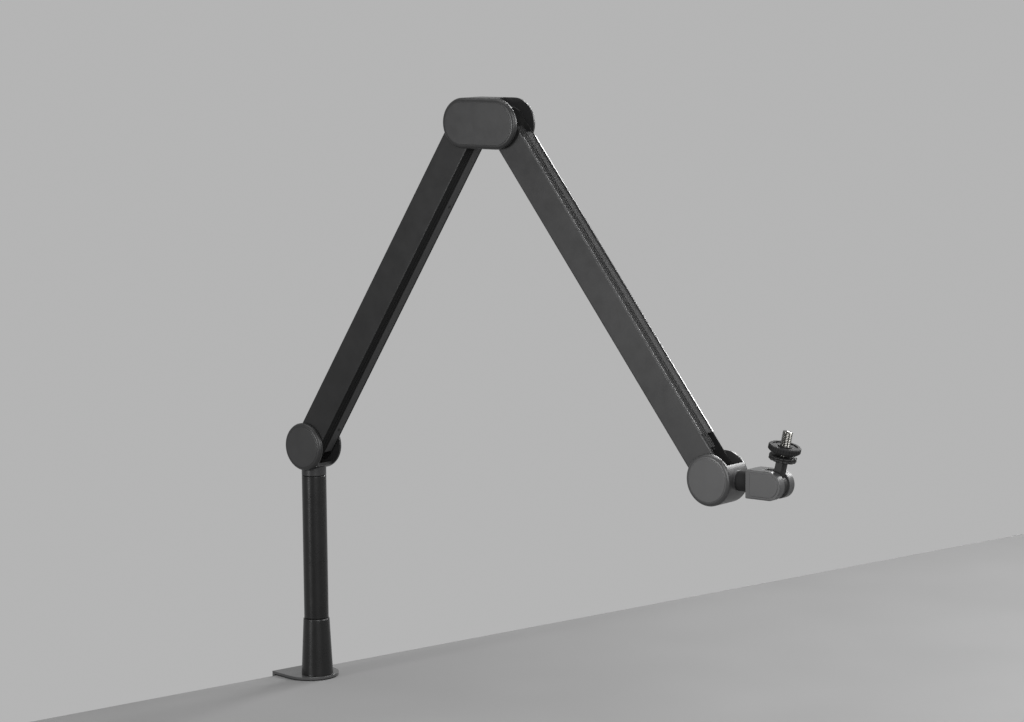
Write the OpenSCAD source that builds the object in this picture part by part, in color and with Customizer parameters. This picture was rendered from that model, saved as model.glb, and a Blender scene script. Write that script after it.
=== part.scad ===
// Desk microphone boom arm: riser post, two balanced arms with hidden cable channels, and a C-clamp.
// The arms lie in the X-Z plane. Z = 0 is the desk top, and X = Y = 0 is the axis of the riser.

/* [Clamp] */
// Turn of the clamp about the riser, away from the plane of the arms
clamp_turn = -11.5; // [-20:0.5:20]
// Width of the clamp plate and of its spine
plate_w = 57; // [46:1:64]
// Distance from the riser axis to the back of the clamp plate
plate_back = 40.6; // [38:0.2:55]
// Distance from the riser axis to the front of the clamp plate
plate_front = 17.8; // [17.2:0.2:24]
// Thickness of the clamp plate
plate_t = 2.6; // [2.4:0.1:5]
// Thickness of the spine behind the desk
spine_t = 4; // [3:0.5:7]
// Thickness of the lower jaw
jaw_t = 4; // [3:0.5:8]
// Reach of the lower jaw in front of the clamp screw
jaw_front = 16; // [14:1:24]
// Thickness of the rubber under the clamp plate
pad_t = 1.2; // [0.8:0.1:3]
// Height of the mouth, the thickest desk that the clamp takes
mouth_max = 60; // [50:1:75]
// Thickness of the desk that it is shown on
desk_t = 30; // [24:1:40]
// Distance from the riser axis back to the clamp screw
screw_back = 8; // [0:1:10]
// Diameter of the clamp screw
screw_d = 10; // [8:0.5:12]
// Free travel of the clamp screw above the place that it is shown at
screw_up = 12; // [8:1:16]
// Diameter of the boss that the screw turns in
boss_d = 20; // [18:1:26]
// Height of the boss under the lower jaw
boss_h = 7; // [4:1:12]
// Diameter of the pressure cup
cup_d = 34; // [28:1:40]
// Height of the pressure cup without its rubber
cup_h = 5; // [4:0.5:7]
// Diameter of the clamp knob
knob_d = 42; // [34:1:50]
// Height of the clamp knob
knob_h = 15; // [12:1:24]
// Number of lobes on the clamp knob
knob_lobes = 7; // [5:1:9]

/* [Riser] */
// Height of the top of the socket sleeve above the desk
sleeve_top = 63; // [54:1:80]
// Diameter of the sleeve at its foot
sleeve_foot_d = 32.8; // [30:0.2:38]
// Diameter of the sleeve at its top
sleeve_top_d = 27.2; // [26.4:0.1:29]
// Length of the riser tube
riser_len = 150; // [100:5:250]
// Diameter of the riser tube
riser_d = 25.4; // [24:0.2:26]
// Wall of the riser tube
riser_wall = 2.7; // [2:0.1:2.9]
// Diameter of the spigots that turn in the sleeve and in the riser
spigot_d = 15; // [13:0.5:15.5]
// Length of each spigot
spigot_len = 42; // [30:1:46]
// Height of the dark seam ring under and over the riser tube
seam_h = 0.5; // [0.3:0.1:1.5]
// Height of the shoulder pivot above the upper seam
shoulder_rise = 30.5; // [28:0.5:45]

/* [Joint housings] */
// Diameter of the round joint housings
disc_d = 49.2; // [48:0.2:58]
// Depth of each joint housing from its front face to its back face
joint_depth = 35.4; // [35.2:0.2:44]
// Rounding of the rim of the caps
rim_r = 3.6; // [2.5:0.1:4]
// Thickness of the face of each cap
cap_face = 1.8; // [1.4:0.1:2]
// Thickness of the rim of each cap
cap_rim = 2.3; // [1.8:0.1:2.6]
// Thickness of each cheek that carries the pivots
cheek_t = 2.6; // [2.2:0.1:2.8]
// Thickness of the lip round each cheek, against which its cap seats
lip_t = 1.5; // [1:0.1:1.6]
// Thickness of the wall round each housing
web_t = 3.5; // [3:0.1:4]
// Distance between the two pivots of the elbow
elbow_gap = 41.2; // [39:0.2:60]
// Diameter of the pivot bolts
bolt_d = 6; // [5:0.5:6.5]
// Diameter of the bushes round the pivot bolts
bush_d = 9; // [8.6:0.1:9.4]
// Diameter of the flat heads and nuts of the pivot bolts
head_d = 12; // [11:0.5:14]
// Diameter of the link pins
link_pin_d = 5; // [4:0.5:5]
// Distance from each pivot to its link pin
link_offset = 9.5; // [9.5:0.1:10.2]

/* [Arms] */
// Length of the lower arm between its pivots
lower_len = 401.4; // [300:0.2:500]
// Length of the upper arm between its pivots
upper_len = 408.2; // [300:0.2:500]
// Angle of the lower arm above level, as shown
lower_deg = 57.4; // [50:0.1:65]
// Angle of the upper arm below level, as shown
upper_deg = 52.4; // [45:0.1:60]
// Height of both arms, seen from the side
arm_h = 32.4; // [31:0.2:33]
// Depth of the lower arm
lower_depth = 25.6; // [22:0.2:25.8]
// Depth of the upper arm
upper_depth = 20; // [20:0.2:25.8]
// Wall of the arm tubes
arm_wall = 1.9; // [1.5:0.1:2]
// Corner rounding of the arm tubes
arm_r = 1.3; // [0.8:0.1:1.8]
// Width of the cable channel as a share of the depth of its arm
channel_share = 0.43; // [0.36:0.01:0.45]
// Depth of the cable channel
channel_h = 7.6; // [6:0.1:8]
// Distance from each pivot to the open end of the tube
tube_cut = 25; // [24:0.5:30]
// Distance from each pivot to the end of the cover of the cable channel
cover_end = 40; // [32:1:80]
// Thickness of the channel covers
cover_t = 2.2; // [1.8:0.1:3]
// Height of the link bars
link_h = 4.4; // [4:0.1:4.6]
// Thickness of the link bars
link_t = 4.2; // [3:0.1:4.4]
// Distance from the near pivot to the hook of the balance spring
hook_x = 52; // [45:1:70]
// Length of the balance springs
spring_len = 130; // [90:1:150]
// Outer diameter of the balance springs
spring_d = 7.6; // [6:0.2:8]
// Wire of the balance springs
spring_wire = 1.2; // [0.8:0.1:1.6]
// Number of turns of each balance spring
spring_turns = 20; // [12:1:24]

/* [Head and microphone mount] */
// Length of the fork at the head
fork_len = 38; // [34:1:60]
// Height of the fork
fork_h = 27; // [25:0.5:34]
// Depth of the fork
fork_depth = 24.4; // [22:0.2:32]
// Distance from the head pivot to the near end of the fork
fork_start = 39.3; // [36:0.1:50]
// Diameter of the neck between the head and the fork
neck_d = 19; // [15:0.5:22]
// Diameter of the swivel pin in the neck
swivel_d = 9; // [7:0.5:11]
// Thickness of the tongue in the fork
tongue_t = 8; // [6:0.5:10]
// Distance from the far end of the fork back to the tilt axis
tilt_back = 11; // [10:0.1:14]
// Diameter of the tilt bolt
tilt_bolt_d = 5; // [4:0.5:6]
// Lean of the microphone mount away from upright, as shown
mount_lean = 13; // [0:1:40]
// Diameter of the stem
stem_d = 11; // [9:0.5:13]
// Height of the flange above the tilt axis
flange_z = 24; // [22:0.5:32]
// Diameter of the flange on the stem
flange_d = 26; // [20:1:30]
// Thickness of the flange
flange_t = 5; // [3:0.5:8]
// Gap between the flange and the locking disc, as shown
lock_gap = 4; // [2.5:0.5:8]
// Diameter of the locking disc
lock_d = 30.5; // [24:0.5:36]
// Thickness of the locking disc
lock_t = 5.6; // [4:0.1:8]
// Number of grooves round the locking disc
lock_ribs = 36; // [24:1:48]
// Thread diameter of the stud, 3/8 inch or 1/4 inch
stud_d = 9.525; // [6.35, 9.525]
// Length of the stud that stands over the locking disc
stud_free = 14; // [10:1:20]

/* [Hidden] */
$fn = 96;
EPS = 0.01;
// Radial clearance of a shaft that turns in its hole
RUN = 0.06;
// Radial clearance of a piece that is pushed into its seat
SEAT = 0.02;
// Side clearance between flat faces that slide
SIDE = 0.4;
// Clearance of a friction washer on each of its faces
WASH = 0.05;
CHAMFER = 0.8;

disc_r = disc_d / 2;
half = joint_depth / 2;
cheek_out = half - cap_face;
cheek_in = cheek_out - cheek_t;
lip_out = cheek_in + lip_t;
cap_in = lip_out + 0.25;
cap_bore = disc_r - cap_rim;
cheek_r = cap_bore - SIDE;
web_r = disc_r - web_t;
lug_back = 7.7;
lug_front = 1;
lug_r = 7.4;
lug_bar_w = 9;
pin_boss_r = 4.1;
link_back = lug_front - 0.3;
link_front = link_back - link_t;
clip_t = 0.8;
head_t = 1.6;
washer_r = 10;
spring_z = 1;
spring_pin_x = hook_x + 2.5 + 0.3 + spring_len + 0.3 + 2;
// Skin left in front of the blind spring pin and of the blind tilt bolt
pin_skin = 1;
ear_skin = 2.2;

shoulder_z = sleeve_top + seam_h + riser_len + seam_h + shoulder_rise;
riser_z0 = sleeve_top + seam_h;
riser_z1 = riser_z0 + riser_len;
collar_z0 = riser_z1 + seam_h;
elbow_x = lower_len * cos(lower_deg);
elbow_z = shoulder_z + lower_len * sin(lower_deg);
elbow2_x = elbow_x + elbow_gap;
head_x = elbow2_x + upper_len * cos(upper_deg);
head_z = elbow_z - upper_len * sin(upper_deg);
// The link pins keep one direction in each parallelogram.
lower_link_dir = 147.4;
upper_link_dir = -122.4;

tilt_x = fork_start + fork_len - tilt_back;
lock_z0 = flange_z + flange_t + lock_gap;
lock_z1 = lock_z0 + lock_t;
washer_h = 1;
stud_top = lock_z1 + stud_free;
relief_h = 1;

jaw_z1 = -mouth_max;
jaw_z0 = jaw_z1 - jaw_t;
boss_z0 = jaw_z0 - boss_h;
knob_z1 = boss_z0 - screw_up - 1;
cup_z1 = -desk_t;
rubber_t = 1.5;
plate_top = pad_t + plate_t;

// A flat shape drawn in X and Z, from depth y0 to depth y1
module slab(y0, y1) {
  translate([0, y1, 0]) rotate([90, 0, 0]) linear_extrude(y1 - y0) children();
}

// A shape turned about the Y axis, drawn as radius and distance in front of the arm's plane
module turned() {
  rotate([90, 0, 0]) rotate_extrude() children();
}

module rod_y(r, y0, y1) {
  translate([0, y1, 0]) rotate([90, 0, 0]) cylinder(r = r, h = y1 - y0);
}

// A straight bar between two points of the X-Z plane
module bar2d(x0, z0, x1, z1, w) {
  translate([x0, z0]) rotate(atan2(z1 - z0, x1 - x0))
    translate([0, -w / 2]) square([norm([x1 - x0, z1 - z0]), w]);
}

module sector(a0, a1) {
  steps = ceil((a1 - a0) / 15);
  polygon(concat([[0, 0]], [for (i = [0:steps])
    let (a = a0 + (a1 - a0) * i / steps) [2 * disc_d * cos(a), 2 * disc_d * sin(a)]]));
}

module rounded(w, h, r) {
  square([w - 2 * r, h], center = true);
  square([w, h - 2 * r], center = true);
  for (sx = [-1, 1], sz = [-1, 1]) translate([sx * (w / 2 - r), sz * (h / 2 - r)]) circle(r = r, $fn = 32);
}

module at_clamp() { rotate([0, 0, clamp_turn]) children(); }
module at_shoulder() { translate([0, 0, shoulder_z]) children(); }
module at_elbow() { translate([elbow_x, 0, elbow_z]) children(); }
module at_head() { translate([head_x, 0, head_z]) children(); }
// Arm frames: X runs along the arm, and Z points to the side with the cable channel.
module at_lower() {
  translate([0, 0, shoulder_z]) rotate([0, -lower_deg, 0]) mirror([0, 0, 1]) children();
}
module at_upper() {
  translate([elbow2_x, 0, elbow_z]) rotate([0, upper_deg, 0]) children();
}
module at_mount() {
  at_head() translate([tilt_x, 0, 0]) rotate([0, mount_lean, 0]) children();
}

// The clamp: a bent plate with a round front, the spine and the lower jaw
module plate2d(w, back, front) {
  intersection() {
    union() {
      translate([front - w / 2, 0]) circle(d = w);
      translate([-back, -w / 2]) square([back + front - w / 2, w]);
    }
    translate([-back, -w / 2]) rear_corners(w, back);
  }
}

module rear_corners(w, back) {
  r = 3;
  translate([r, 0]) square([back + w, w]);
  translate([0, r]) square([back, w - 2 * r]);
  for (y = [r, w - r]) translate([r, y]) circle(r = r, $fn = 32);
}

module clamp_frame() {
  jaw_len = plate_back - screw_back + jaw_front;
  gusset = 12;
  color("#2a2a2c") at_clamp() difference() {
    union() {
      translate([0, 0, pad_t]) linear_extrude(plate_t) plate2d(plate_w, plate_back, plate_front);
      translate([-plate_back, -plate_w / 2, jaw_z0]) cube([spine_t, plate_w, plate_top - jaw_z0 - EPS]);
      intersection() {
        translate([0, 0, jaw_z0]) linear_extrude(jaw_t) {
          translate([-plate_back, -plate_w / 2]) square([jaw_len - plate_w / 2, plate_w]);
          translate([-plate_back + jaw_len - plate_w / 2, 0]) circle(d = plate_w);
        }
      }
      translate([-screw_back, 0, boss_z0]) cylinder(d = boss_d, h = boss_h + EPS);
      for (y = [-plate_w / 2 + 3, plate_w / 2 - 6])
        translate([-plate_back + spine_t - EPS, y + 3, jaw_z1 - EPS]) rotate([90, 0, 0])
          linear_extrude(3) polygon([[0, 0], [gusset, 0], [0, gusset]]);
    }
    translate([-screw_back, 0, boss_z0 - EPS]) cylinder(r = screw_d / 2 + RUN, h = boss_h + jaw_t + 3 * EPS);
    socket_bolt_holes(pad_t - EPS, plate_t + 2 * EPS, 2 + SEAT);
  }
}

module socket_bolt_holes(z, h, r) {
  for (a = [0:90:270]) rotate([0, 0, a + 45])
    translate([bolt_ring, 0, z]) cylinder(r = r, h = h);
}
bolt_ring = (spigot_d / 2 + sleeve_foot_d / 2) / 2 + 0.3;

module clamp_pad() {
  rim = 1;
  color("#101012") at_clamp() difference() {
    linear_extrude(pad_t) intersection() {
      plate2d(plate_w - 2 * rim, plate_back - spine_t - SIDE, plate_front - rim);
      translate([-plate_back + spine_t + SIDE, -plate_w / 2]) square([2 * plate_back, plate_w]);
    }
  }
}

// The tapered sleeve that the riser turns in
module riser_socket() {
  skirt = 1.2;
  bush_r = spigot_d / 2 + 2;
  color("#2c2c2e") at_clamp() translate([0, 0, plate_top]) difference() {
    rotate_extrude() polygon([
      [0, 0], [sleeve_foot_d / 2, 0], [sleeve_foot_d / 2, skirt],
      [sleeve_top_d / 2, sleeve_top - plate_top - CHAMFER],
      [sleeve_top_d / 2 - CHAMFER / 2, sleeve_top - plate_top], [0, sleeve_top - plate_top]]);
    translate([0, 0, sleeve_top - plate_top - spigot_len - 4])
      cylinder(r = bush_r, h = spigot_len + 5);
    socket_bolt_holes(-EPS, 8, 2 + SEAT);
  }
}

module socket_bush() {
  bush_r = spigot_d / 2 + 2;
  color("#d8d6cf") translate([0, 0, sleeve_top - spigot_len - 4]) difference() {
    cylinder(r = bush_r - SEAT, h = spigot_len + 4);
    translate([0, 0, 2]) cylinder(r = spigot_d / 2 + RUN, h = spigot_len + 5);
  }
}

module socket_bolts() {
  color("#8d9094") at_clamp() socket_bolt_holes(pad_t, plate_t + 7, 2);
}

// The swivelling cup that presses under the desk
module pressure_cup() {
  neck = screw_d / 2 + 3;
  color("#2a2a2c") at_clamp() translate([-screw_back, 0, cup_z1 - rubber_t - cup_h]) difference() {
    rotate_extrude() polygon([
      [0, 0], [neck, 0], [neck, 1.6], [cup_d / 2, cup_h - 1.6], [cup_d / 2, cup_h], [0, cup_h]]);
    translate([0, 0, -EPS]) cylinder(r = screw_d / 2 - 1 + RUN, h = 3);
  }
}

module cup_rubber() {
  color("#101012") at_clamp() translate([-screw_back, 0, cup_z1 - rubber_t])
    cylinder(d = cup_d - 2, h = rubber_t);
}

module clamp_screw() {
  tip_r = screw_d / 2 - 1;
  screw_z1 = cup_z1 - rubber_t - cup_h - WASH;
  color("#9a9da2") at_clamp() translate([-screw_back, 0, 0]) {
    translate([0, 0, screw_z1 - EPS]) cylinder(r = tip_r, h = 2.7);
    translate([0, 0, knob_z1 - 8]) cylinder(d = screw_d, h = screw_z1 - knob_z1 + 8);
  }
}

module clamp_knob() {
  lobe_r = knob_d * PI / knob_lobes / 3.6;
  color("#1c1c1e") at_clamp() translate([-screw_back, 0, knob_z1 - knob_h]) difference() {
    rotate_extrude() {
      square([knob_d / 2 - 2, knob_h]);
      translate([0, 2]) square([knob_d / 2, knob_h - 4]);
      for (z = [2, knob_h - 2]) translate([knob_d / 2 - 2, z]) circle(r = 2, $fn = 32);
    }
    for (i = [0:knob_lobes - 1]) rotate([0, 0, i * 360 / knob_lobes])
      translate([knob_d / 2 + lobe_r * 0.45, 0, -EPS]) cylinder(r = lobe_r, h = knob_h + 2 * EPS);
    translate([0, 0, knob_h - 8]) cylinder(r = screw_d / 2 + SEAT, h = 8 + EPS);
  }
}

// The riser: a tube with a plug below and a bush above
module riser_tube() {
  edge = 0.6;
  inner = riser_d / 2 - riser_wall;
  color("#29292b") translate([0, 0, riser_z0]) rotate_extrude() polygon([
    [inner, 0], [riser_d / 2 - edge, 0], [riser_d / 2, edge],
    [riser_d / 2, riser_len - edge], [riser_d / 2 - edge, riser_len], [inner, riser_len]]);
}

module riser_plug() {
  plug_r = riser_d / 2 - riser_wall - SEAT;
  plug_h = 30;
  color("#75787c") {
    translate([0, 0, riser_z0]) cylinder(r = plug_r, h = plug_h);
    translate([0, 0, sleeve_top - spigot_len]) cylinder(d = spigot_d, h = spigot_len + seam_h + EPS);
  }
}

module riser_bush() {
  bush_r = riser_d / 2 - riser_wall - SEAT;
  color("#d8d6cf") translate([0, 0, riser_z1 - spigot_len - 4]) difference() {
    cylinder(r = bush_r, h = spigot_len + 4);
    translate([0, 0, 2]) cylinder(r = spigot_d / 2 + RUN, h = spigot_len + 4);
  }
}

module seam_ring(z) {
  translate([0, 0, z + WASH]) difference() {
    cylinder(r = riser_d / 2 - 0.8, h = seam_h - 2 * WASH);
    translate([0, 0, -EPS]) cylinder(r = spigot_d / 2 + RUN, h = seam_h + 1);
  }
}

module riser_seam() { color("#050506") seam_ring(sleeve_top); }
module shoulder_seam() { color("#050506") seam_ring(riser_z1); }

// The two cheeks of a joint: a plate that a cap hides and a lip that stays in sight
module cheek_pair() {
  for (s = [-1, 1]) scale([1, s, 1]) {
    slab(cheek_in, cheek_out) children(0);
    slab(cheek_in, lip_out) children(1);
  }
}

module bolt_holes() {
  rod_y(bolt_d / 2 + SEAT, -half, half);
  for (s = [-1, 1]) scale([1, s, 1]) rod_y(head_d / 2 + SEAT, cheek_out - head_t, cheek_out + EPS);
}

module round_web(a0, a1) {
  slab(-lip_out, lip_out) intersection() {
    difference() {
      circle(r = disc_r);
      circle(r = web_r);
    }
    sector(a0, a1);
  }
  slab(-cheek_out, cheek_out) intersection() {
    difference() {
      circle(r = cheek_r);
      circle(r = web_r);
    }
    sector(a0, a1);
  }
}

// The lug inside the arm's end: a hub round the bush, a boss for the link pin and a bar to the wall
module lug2d(pin_dir, bar_x, bar_z) {
  px = link_offset * cos(pin_dir);
  pz = link_offset * sin(pin_dir);
  circle(r = lug_r);
  translate([px, pz]) circle(r = pin_boss_r);
  bar2d(0, 0, px, pz, 2 * pin_boss_r - 1);
  bar2d(0, 0, bar_x, bar_z, lug_bar_w);
}

module lug_holes(pin_dir) {
  rod_y(bush_d / 2 + RUN * 2, -half, half);
  translate([link_offset * cos(pin_dir), 0, link_offset * sin(pin_dir)])
    rod_y(link_pin_d / 2 + SEAT, -half, half);
}

module core_lug(pin_dir, bar_x, bar_z) {
  difference() {
    slab(lug_front, lug_back) lug2d(pin_dir, bar_x, bar_z);
    lug_holes(pin_dir);
  }
}

module link_pin(pin_dir) {
  px = link_offset * cos(pin_dir);
  pz = link_offset * sin(pin_dir);
  color("#a8abaf") translate([px, 0, pz]) {
    rod_y(link_pin_d / 2, link_front - 0.3 - EPS, lug_back);
    rod_y(link_pin_d / 2 + 1, link_front - 0.3 - clip_t, link_front - 0.3);
  }
}

module cap_profile() {
  difference() {
    union() {
      if (half - rim_r > cap_in) translate([0, cap_in]) square([disc_r, half - rim_r - cap_in]);
      translate([0, cap_in]) square([disc_r - rim_r, half - cap_in]);
      translate([disc_r - rim_r, half - rim_r]) circle(r = rim_r, $fn = 64);
    }
    translate([-EPS, 0]) square([cap_bore + EPS, cheek_out]);
    translate([-disc_d, -disc_d]) square([disc_d, 2 * disc_d]);
    translate([0, 0]) square([disc_d, cap_in]);
  }
}

module round_cap() { color("#353537") turned() cap_profile(); }

module pivot_bolt() {
  color("#6e7175") {
    rod_y(bolt_d / 2, -cheek_out + head_t - EPS, cheek_out - head_t + EPS);
    rod_y(head_d / 2, -cheek_out + 0.1, -cheek_out + head_t);
  }
}

module pivot_nut() {
  color("#6e7175") rod_y(head_d / 2, cheek_out - head_t + 2 * EPS, cheek_out - 0.1);
}

// The shoulder: cheeks, lower wall, collar and the spigot in the riser
module shoulder_yoke() {
  color("#303032") {
    at_shoulder() {
      difference() {
        union() {
          cheek_pair() {
            circle(r = cheek_r);
            circle(r = disc_r);
          }
          round_web(200, 306);
        }
        bolt_holes();
      }
      core_lug(lower_link_dir, -6, -web_r - 1);
    }
    intersection() {
      translate([0, 0, collar_z0]) cylinder(d = riser_d, h = shoulder_rise);
      at_shoulder() difference() {
        translate([-disc_d, -disc_d, -disc_d]) cube([2 * disc_d, 2 * disc_d, disc_d]);
        rod_y(disc_r - 1, -disc_d, disc_d);
      }
      translate([-disc_d, -lip_out, 0]) cube([2 * disc_d, 2 * lip_out, 2 * shoulder_z]);
    }
    translate([0, 0, riser_z1 - spigot_len]) cylinder(d = spigot_d, h = spigot_len + seam_h + EPS);
  }
}

module shoulder_cap_front() { at_shoulder() round_cap(); }
module shoulder_cap_back() { at_shoulder() mirror([0, 1, 0]) round_cap(); }
module shoulder_bolt() { at_shoulder() pivot_bolt(); }
module shoulder_nut() { at_shoulder() pivot_nut(); }
module shoulder_link_pin() { at_shoulder() link_pin(lower_link_dir); }

// Section of an arm tube: the box, the cable channel and two fine grooves, drawn in Y and Z
module arm_section(depth) {
  in_y = depth / 2 - arm_wall;
  in_z = arm_h / 2 - arm_wall;
  floor_z = arm_h / 2 - channel_h;
  channel_w = channel_share * depth;
  wall_y = in_y - channel_w;
  difference() {
    rounded(depth, arm_h, arm_r);
    difference() {
      square([2 * in_y, 2 * in_z], center = true);
      translate([wall_y - arm_wall, floor_z - arm_wall]) square([depth, arm_h]);
    }
    translate([wall_y, floor_z]) square([channel_w, arm_h]);
    for (g = [0.22, 0.37]) translate([-depth / 2 + g * depth, arm_h / 2 - 0.6]) square([0.7, 1]);
  }
}

// An arm tube. Its ends are open for the lugs, but the channel side runs on to keep0 and keep1 from the pivots.
module arm_tube(len, depth, keep0, keep1) {
  in_y = depth / 2 - arm_wall;
  in_z = arm_h / 2 - arm_wall;
  color("#2d2d2f") difference() {
    intersection() {
      translate([-arm_h, 0, 0]) rotate([90, 0, 90]) linear_extrude(len + 2 * arm_h) arm_section(depth);
      slab(-depth, depth) {
        circle(d = arm_h);
        translate([len, 0]) circle(d = arm_h);
        translate([0, -arm_h / 2]) square([len, arm_h]);
      }
    }
    for (x = [-arm_h, len - tube_cut]) translate([x, -in_y, -arm_h])
      cube([arm_h + tube_cut, 2 * in_y, arm_h + in_z]);
    translate([-arm_h, -in_y, -arm_h]) cube([arm_h + keep0, 2 * in_y, 2 * arm_h]);
    translate([len - keep1, -in_y, -arm_h]) cube([arm_h + keep1, 2 * in_y, 2 * arm_h]);
    for (x = [0, len]) translate([x, 0, 0]) rod_y(bush_d / 2 + SEAT, -depth, depth);
    translate([spring_pin_x, 0, spring_z]) rod_y(2 + SEAT, -depth / 2 + pin_skin, depth);
  }
}

module arm_cover(len, depth, end0, end1) {
  in_y = depth / 2 - arm_wall;
  top = arm_h / 2 - 0.2;
  channel_w = channel_share * depth;
  y0 = in_y - channel_w + 0.15;
  w = channel_w - 0.3;
  color("#3b3b3d") translate([end0, 0, 0]) rotate([90, 0, 90]) linear_extrude(len - end0 - end1) {
    translate([y0, top - cover_t]) square([w, cover_t]);
    for (y = [y0 + 0.4, y0 + w - 1.4]) translate([y, arm_h / 2 - channel_h + 0.3])
      square([1, channel_h - cover_t]);
  }
}

module arm_bushes(len, depth) {
  color("#d8d6cf") for (x = [0, len]) translate([x, 0, 0]) difference() {
    rod_y(bush_d / 2, -depth / 2, depth / 2);
    rod_y(bolt_d / 2 + RUN, -depth, depth);
  }
}

module arm_washers(len, depth) {
  color("#c9c7c0") for (x = [0, len], s = [-1, 1]) translate([x, 0, 0]) scale([1, s, 1]) difference() {
    rod_y(washer_r, depth / 2 + WASH, cheek_in - WASH);
    rod_y(bolt_d / 2 + RUN, 0, depth);
  }
}

module spring_pin(depth) {
  color("#a8abaf") translate([spring_pin_x, 0, spring_z]) rod_y(2, -depth / 2 + pin_skin + WASH, depth / 2 - 0.3);
}

// A balance spring as one unbroken tube along a helix
module coil() {
  sides = 6;
  per_turn = 8;
  n = spring_turns * per_turn;
  r = (spring_d - spring_wire) / 2;
  pitch = (spring_len - spring_wire) / spring_turns;
  climb = pitch / (2 * PI * r);
  k = sqrt(1 + climb * climb);
  pts = [for (i = [0:n]) let (a = i * 360 / per_turn) for (j = [0:sides - 1])
    let (u = j * 360 / sides, q = r + spring_wire / 2 * cos(u), v = spring_wire / 2 * sin(u) / k)
      [spring_wire / 2 + pitch * i / per_turn + v, q * cos(a) + v * climb * sin(a),
        q * sin(a) - v * climb * cos(a)]];
  faces = concat(
    [[for (j = [0:sides - 1]) j]],
    [for (i = [0:n - 1], j = [0:sides - 1]) let (a = i * sides + j, b = i * sides + (j + 1) % sides)
      each [[a, b + sides, b], [a, a + sides, b + sides]]],
    [[for (j = [sides - 1:-1:0]) n * sides + j]]);
  polyhedron(pts, faces);
}

module balance_spring() {
  color("#b4b6ba") translate([hook_x + 2.5 + 0.3, (link_back + link_front) / 2, spring_z]) coil();
}

// A link bar with an eye at each end and a hook for the spring, in its arm's frame
module link_bar(len, dx, dz) {
  color("#55585c") difference() {
    slab(link_front, link_back) {
      for (x = [0, len]) translate([x + dx, dz]) circle(r = pin_boss_r);
      translate([dx, dz - link_h / 2]) square([len, link_h]);
      translate([hook_x - 2.5, dz]) square([5, spring_z - dz + spring_d / 2]);
    }
    for (x = [0, len]) translate([x + dx, 0, dz]) rod_y(link_pin_d / 2 + RUN, -half, half);
    translate([hook_x, 0, spring_z]) rod_y(1, -half, half);
  }
}

module lower_arm_tube() { at_lower() arm_tube(lower_len, lower_depth, 0, 14); }
module lower_arm_cover() { at_lower() arm_cover(lower_len, lower_depth, 3, 15); }
module lower_arm_bushes() { at_lower() arm_bushes(lower_len, lower_depth); }
module lower_arm_washers() { at_lower() arm_washers(lower_len, lower_depth); }
module lower_spring_pin() { at_lower() spring_pin(lower_depth); }
module lower_spring() { at_lower() balance_spring(); }
module lower_link() {
  a = lower_deg - lower_link_dir;
  at_lower() link_bar(lower_len, link_offset * cos(a), link_offset * sin(a));
}

// The elbow: stadium cheeks, a web between the pivots and a bridge over the left one
module stadium(r) {
  for (x = [0, elbow_gap]) translate([x, 0]) circle(r = r);
  translate([0, -r]) square([elbow_gap, 2 * r]);
}

// The wall over the left pivot, which leaves the top right of the elbow open
module elbow_wall(r) {
  end = elbow_gap / 2 + 8;
  far = 2 * disc_d;
  intersection() {
    difference() {
      stadium(r);
      stadium(web_r);
    }
    polygon([[0, 0], [end, 0], [end, far], [-far, far], [-far, far * tan(34)]]);
  }
}

module elbow_frame() {
  mid = elbow_gap / 2;
  color("#303032") at_elbow() {
    difference() {
      union() {
        cheek_pair() {
          stadium(cheek_r);
          stadium(disc_r);
        }
        slab(-lip_out, lip_out) elbow_wall(disc_r);
        slab(-cheek_in - 1, cheek_in + 1) elbow_wall(cheek_r);
        slab(-cheek_in - 1, cheek_in + 1) translate([mid - 2, -18]) square([4, 19 + web_r]);
        for (x = [mid + 3.5, mid + 6]) slab(-cheek_in - 1, cheek_in + 1)
          translate([x, web_r - 2]) square([1.2, 3]);
      }
      bolt_holes();
      translate([elbow_gap, 0, 0]) bolt_holes();
    }
    difference() {
      slab(lug_front, lug_back) {
        lug2d(lower_link_dir, mid + 1, 0);
        translate([elbow_gap, 0]) lug2d(upper_link_dir, -mid - 1, 0);
      }
      lug_holes(lower_link_dir);
      translate([elbow_gap, 0, 0]) lug_holes(upper_link_dir);
    }
  }
}

// A stadium cover: the same rounded rim as a round cap, carried along between two ends
module elbow_cover() {
  color("#353537") difference() {
    union() {
      turned() cap_profile();
      translate([elbow_gap, 0, 0]) turned() cap_profile();
      for (s = [-1, 1]) scale([1, 1, s])
        rotate([90, 0, 90]) linear_extrude(elbow_gap) rotate(90) cap_profile();
    }
    slab(-cheek_out, 0) stadium(cap_bore);
  }
}

module elbow_cover_front() { at_elbow() elbow_cover(); }
module elbow_cover_back() { at_elbow() mirror([0, 1, 0]) elbow_cover(); }
module elbow_bolts() { at_elbow() for (x = [0, elbow_gap]) translate([x, 0, 0]) pivot_bolt(); }
module elbow_nuts() { at_elbow() for (x = [0, elbow_gap]) translate([x, 0, 0]) pivot_nut(); }
module elbow_link_pins() {
  at_elbow() {
    link_pin(lower_link_dir);
    translate([elbow_gap, 0, 0]) link_pin(upper_link_dir);
  }
}

module upper_arm_tube() { at_upper() arm_tube(upper_len, upper_depth, 14, tube_cut); }
module upper_arm_cover() { at_upper() arm_cover(upper_len, upper_depth, 21.5, cover_end); }
module upper_arm_bushes() { at_upper() arm_bushes(upper_len, upper_depth); }
module upper_arm_washers() { at_upper() arm_washers(upper_len, upper_depth); }
module upper_spring_pin() { at_upper() spring_pin(upper_depth); }
module upper_spring() { at_upper() balance_spring(); }
module upper_link() {
  a = upper_link_dir + upper_deg;
  at_upper() link_bar(upper_len, link_offset * cos(a), link_offset * sin(a));
}

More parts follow.
